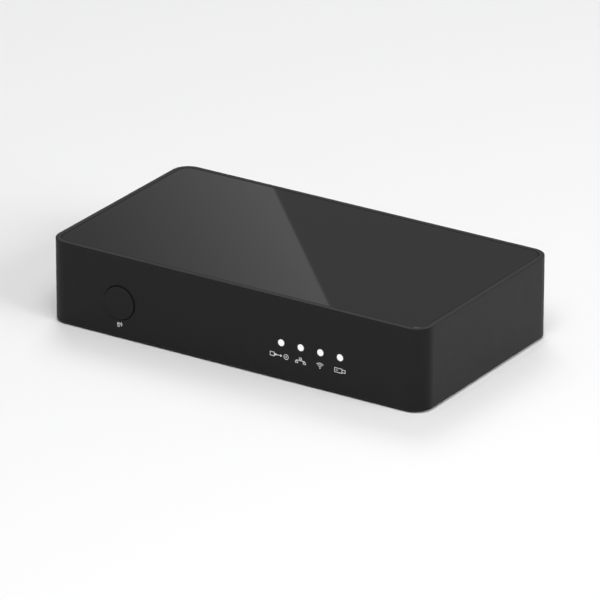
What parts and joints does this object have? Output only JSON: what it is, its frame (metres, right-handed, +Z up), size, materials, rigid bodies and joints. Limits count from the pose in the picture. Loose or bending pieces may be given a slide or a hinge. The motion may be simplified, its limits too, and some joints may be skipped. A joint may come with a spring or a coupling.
{
  "type": "bluetooth audio receiver",
  "caption": "Flat rectangular desktop audio receiver with a gloss top, front status lights and infrared window, and a rear row of power, network, USB, analogue and optical sockets.",
  "frame": {"origin": "on the desk plane, under the middle of the outline that includes the rear phono sockets", "axes": "+X from left to right along the front, -Y towards the front, +Y towards the connectors, +Z up"},
  "size_m": [0.145, 0.0878, 0.0293],
  "materials": {
    "shell_plastic": "fine satin mould texture",
    "top_gloss": "polished",
    "base_plastic": "spark-eroded texture",
    "rear_plastic": "fine satin mould texture",
    "adhesive_film": "double-sided film",
    "rating_sticker": "blank silver sticker",
    "foot_rubber": "matte",
    "screw_steel": "black zinc",
    "ir_plastic": "infrared-pass, polished",
    "light_guide": "clear acrylic",
    "lamp": "white package",
    "component_black": "moulded epoxy",
    "connector_black": "semi-matte",
    "optical_emitter": "smoked",
    "tinned_sheet": "bright tin plate",
    "contact_metal": "gold flash",
    "nickel": "nickel plate",
    "spring_steel": "music wire",
    "tongue_plastic": "natural",
    "insert_white": "semi-gloss",
    "insert_red": "semi-gloss",
    "button_plastic": "satin",
    "board": "solder mask",
    "antenna_film": "copper on amber film",
    "cable_jacket": "smooth",
    "capacitor_can": "satin",
    "chip_ceramic": "matte"
  },
  "bodies": {
    "root": {"upper_shell": "shell_plastic", "top_panel": "top_gloss", "base_plate": "base_plastic", "rear_io_panel": "rear_plastic", "top_panel_adhesive": "adhesive_film", "rating_label": "rating_sticker", "foot_front_left": "foot_rubber", "foot_front_right": "foot_rubber", "foot_rear_left": "foot_rubber", "foot_rear_right": "foot_rubber", "case_screws": "screw_steel", "board_screws": "screw_steel", "ir_window": "ir_plastic", "light_pipe_array": "light_guide", "ethernet_link_lenses": "light_guide", "status_leds": "lamp", "ir_receiver": "component_black", "control_chip": "component_black", "audio_converter_chip": "component_black", "line_driver_chip": "component_black", "memory_chip": "component_black", "power_regulator": "component_black", "ethernet_transformer": "component_black", "buck_inductor": "component_black", "wireless_processor": "component_black", "dc_jack_body": "connector_black", "ethernet_insert": "connector_black", "aux_in_body": "connector_black", "optical_out_body": "connector_black", "line_out_housing": "connector_black", "reset_switch_base": "connector_black", "optical_out_emitter": "optical_emitter", "ethernet_shield": "tinned_sheet", "usb_shield": "tinned_sheet", "reset_switch_cover": "tinned_sheet", "wireless_module_shield": "tinned_sheet", "ethernet_contacts": "contact_metal", "usb_contacts": "contact_metal", "line_out_centre_contacts": "contact_metal", "antenna_plugs": "contact_metal", "dc_jack_pin": "nickel", "dc_jack_leaf": "nickel", "aux_in_leaves": "nickel", "line_out_barrels": "nickel", "reset_switch_dome": "nickel", "crystal": "nickel", "optical_shutter_spring": "spring_steel", "usb_tongue": "tongue_plastic", "line_out_insert_left": "insert_white", "line_out_insert_right": "insert_red", "main_board": "board", "wireless_module_board": "board", "antenna_left": "antenna_film", "antenna_right": "antenna_film", "antenna_cable_left": "cable_jacket", "antenna_cable_right": "cable_jacket", "electrolytic_capacitors": "capacitor_can", "chip_passives": "chip_ceramic"},
    "optical_shutter": {"optical_out_shutter": "connector_black"},
    "reset_button": {"reset_button": "button_plastic"}
  },
  "joints": [
    {"name": "optical_shutter_hinge", "type": "hinge", "parent": "root", "child": "optical_shutter", "pos_m": [-0.0195, 0.03425, 0.0172], "axis": [-1, 0, 0], "range_deg": [0, 85], "stiffness_Nm_per_rad": 0.0005, "springref_deg": -28.65, "deforming": ["optical_shutter_spring"]},
    {"name": "reset_press", "type": "slide", "parent": "root", "child": "reset_button", "axis": [0, -1, 0], "range_m": [0, 0.0003], "stiffness_N_per_m": 5233, "deforming": ["reset_switch_dome"]}
  ]
}
